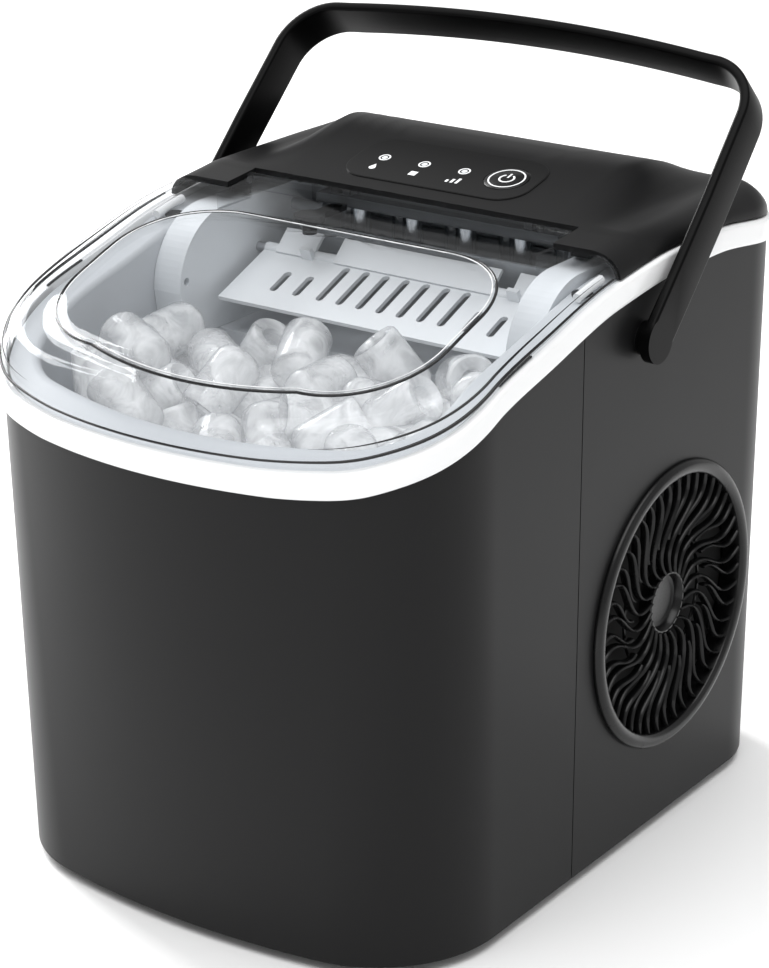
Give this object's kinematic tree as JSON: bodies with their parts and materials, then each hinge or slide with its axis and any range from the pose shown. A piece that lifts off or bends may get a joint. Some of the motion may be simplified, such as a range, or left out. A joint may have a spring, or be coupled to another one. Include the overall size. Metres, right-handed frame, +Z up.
{
  "type": "ice maker",
  "caption": "Countertop ice maker with a lifting clear lid, carry handle, round side grille, tilting freezing tray, ice shovel and lift-out basket.",
  "frame": {"origin": "centre of the footprint, on the plane that the rubber feet stand on", "axes": "+Z up, -Y front, +X right side with the round grille"},
  "size_m": [0.2364, 0.3026, 0.3204],
  "materials": {
    "shell_black": "satin",
    "cover_black": "satin",
    "handle_black": "satin",
    "overlay_black": "satin film",
    "trim_white": "gloss",
    "lid_clear": "clear gloss",
    "liner_grey": "satin",
    "cheek_grey": "satin",
    "basket_clear": "clear",
    "shovel_white": "satin",
    "tray_white": "satin",
    "lens_clear": "clear",
    "board_green": "satin",
    "foam": "matt foam",
    "steel": "brushed",
    "plated_metal": "satin",
    "copper": "satin",
    "compressor_black": "gloss paint",
    "valve_blue": "paint",
    "rubber_black": "matt",
    "grille_black": "gloss",
    "fan_dark": "satin",
    "motor_grey": "satin",
    "pump_dark": "satin",
    "hose_clear": "satin",
    "float_white": "matt"
  },
  "bodies": {
    "housing": {"base_pan": "fan_dark", "rubber_feet": "rubber_black", "case_screws": "steel", "front_shell": "shell_black", "rear_shell": "shell_black", "trim_band": "trim_white", "top_cover": "cover_black", "hinge_sockets": "cover_black", "control_overlay": "overlay_black", "led_lenses": "lens_clear", "control_board": "board_green", "handle_bushes": "fan_dark", "liner": "liner_grey", "liner_insulation": "foam", "left_cheek": "cheek_grey", "right_cheek": "cheek_grey", "tray_motor": "motor_grey", "evaporator_plate": "fan_dark", "evaporator_fingers": "plated_metal", "evaporator_hanger": "fan_dark", "ice_full_sensor": "fan_dark", "side_grille": "grille_black", "fan_frame": "fan_dark", "fan_motor": "motor_grey", "condenser_fins": "plated_metal", "condenser_coil": "copper", "compressor": "compressor_black", "compressor_grommets": "rubber_black", "terminal_cover": "pump_dark", "suction_tube": "copper", "discharge_tube": "copper", "liquid_tube": "copper", "filter_drier": "copper", "capillary_tube": "copper", "hot_gas_valve": "valve_blue", "hot_gas_tube": "copper", "water_pump": "pump_dark", "pump_cover": "hose_clear", "water_hose": "hose_clear", "drain_hose": "hose_clear", "drain_spigot": "fan_dark", "rear_grille": "fan_dark", "cord_gland": "rubber_black", "float_stem": "float_white"},
    "lid": {"lid": "lid_clear", "lid_hinge_pins": "steel"},
    "handle": {"carry_handle": "handle_black", "handle_pins": "steel"},
    "button": {"power_button": "overlay_black"},
    "fan": {"fan_blades": "fan_dark"},
    "impeller": {"pump_impeller": "float_white"},
    "tray": {"water_tray": "tray_white"},
    "shovel": {"ice_shovel": "shovel_white", "shovel_pins": "steel"},
    "basket": {"ice_basket": "basket_clear"},
    "plug": {"drain_plug": "rubber_black"},
    "float": {"level_float": "float_white"}
  },
  "joints": [
    {"name": "lid_hinge", "type": "hinge", "parent": "housing", "child": "lid", "pos_m": [0, 0.0165, 0.2571], "axis": [-1, 0, 0], "range_deg": [0, 95]},
    {"name": "handle_swing", "type": "hinge", "parent": "housing", "child": "handle", "pos_m": [0, 0.0198, 0.2222], "axis": [-1, 0, 0], "range_deg": [-120, 0]},
    {"name": "button_press", "type": "slide", "parent": "housing", "child": "button", "axis": [0, 0.2181, -0.9759], "range_m": [0, 0.0008], "stiffness_N_per_m": 900},
    {"name": "fan_spin", "type": "hinge", "parent": "housing", "child": "fan", "pos_m": [0.09, 0.05, 0.099], "axis": [1, 0, 0], "continuous": true},
    {"name": "impeller_spin", "type": "hinge", "parent": "housing", "child": "impeller", "pos_m": [-0.04, -0.062, 0.03], "axis": [0, 0, 1], "continuous": true},
    {"name": "tray_tilt", "type": "hinge", "parent": "housing", "child": "tray", "pos_m": [0, 0.047, 0.24], "axis": [1, 0, 0], "range_deg": [0, 80]},
    {"name": "shovel_tip", "type": "hinge", "parent": "housing", "child": "shovel", "pos_m": [0, 0.022, 0.227], "axis": [1, 0, 0], "range_deg": [0, 12]},
    {"name": "basket_lift", "type": "slide", "parent": "housing", "child": "basket", "axis": [0, 0, 1], "range_m": [0, 0.008]},
    {"name": "plug_pull", "type": "slide", "parent": "housing", "child": "plug", "axis": [0, 1, 0], "range_m": [0, 0.018]},
    {"name": "float_rise", "type": "slide", "parent": "housing", "child": "float", "axis": [0, 0, 1], "range_m": [0, 0.012]}
  ],
  "couplings": [
    {"joint": "shovel_tip", "follows": "tray_tilt", "ratio": 0.15}
  ]
}
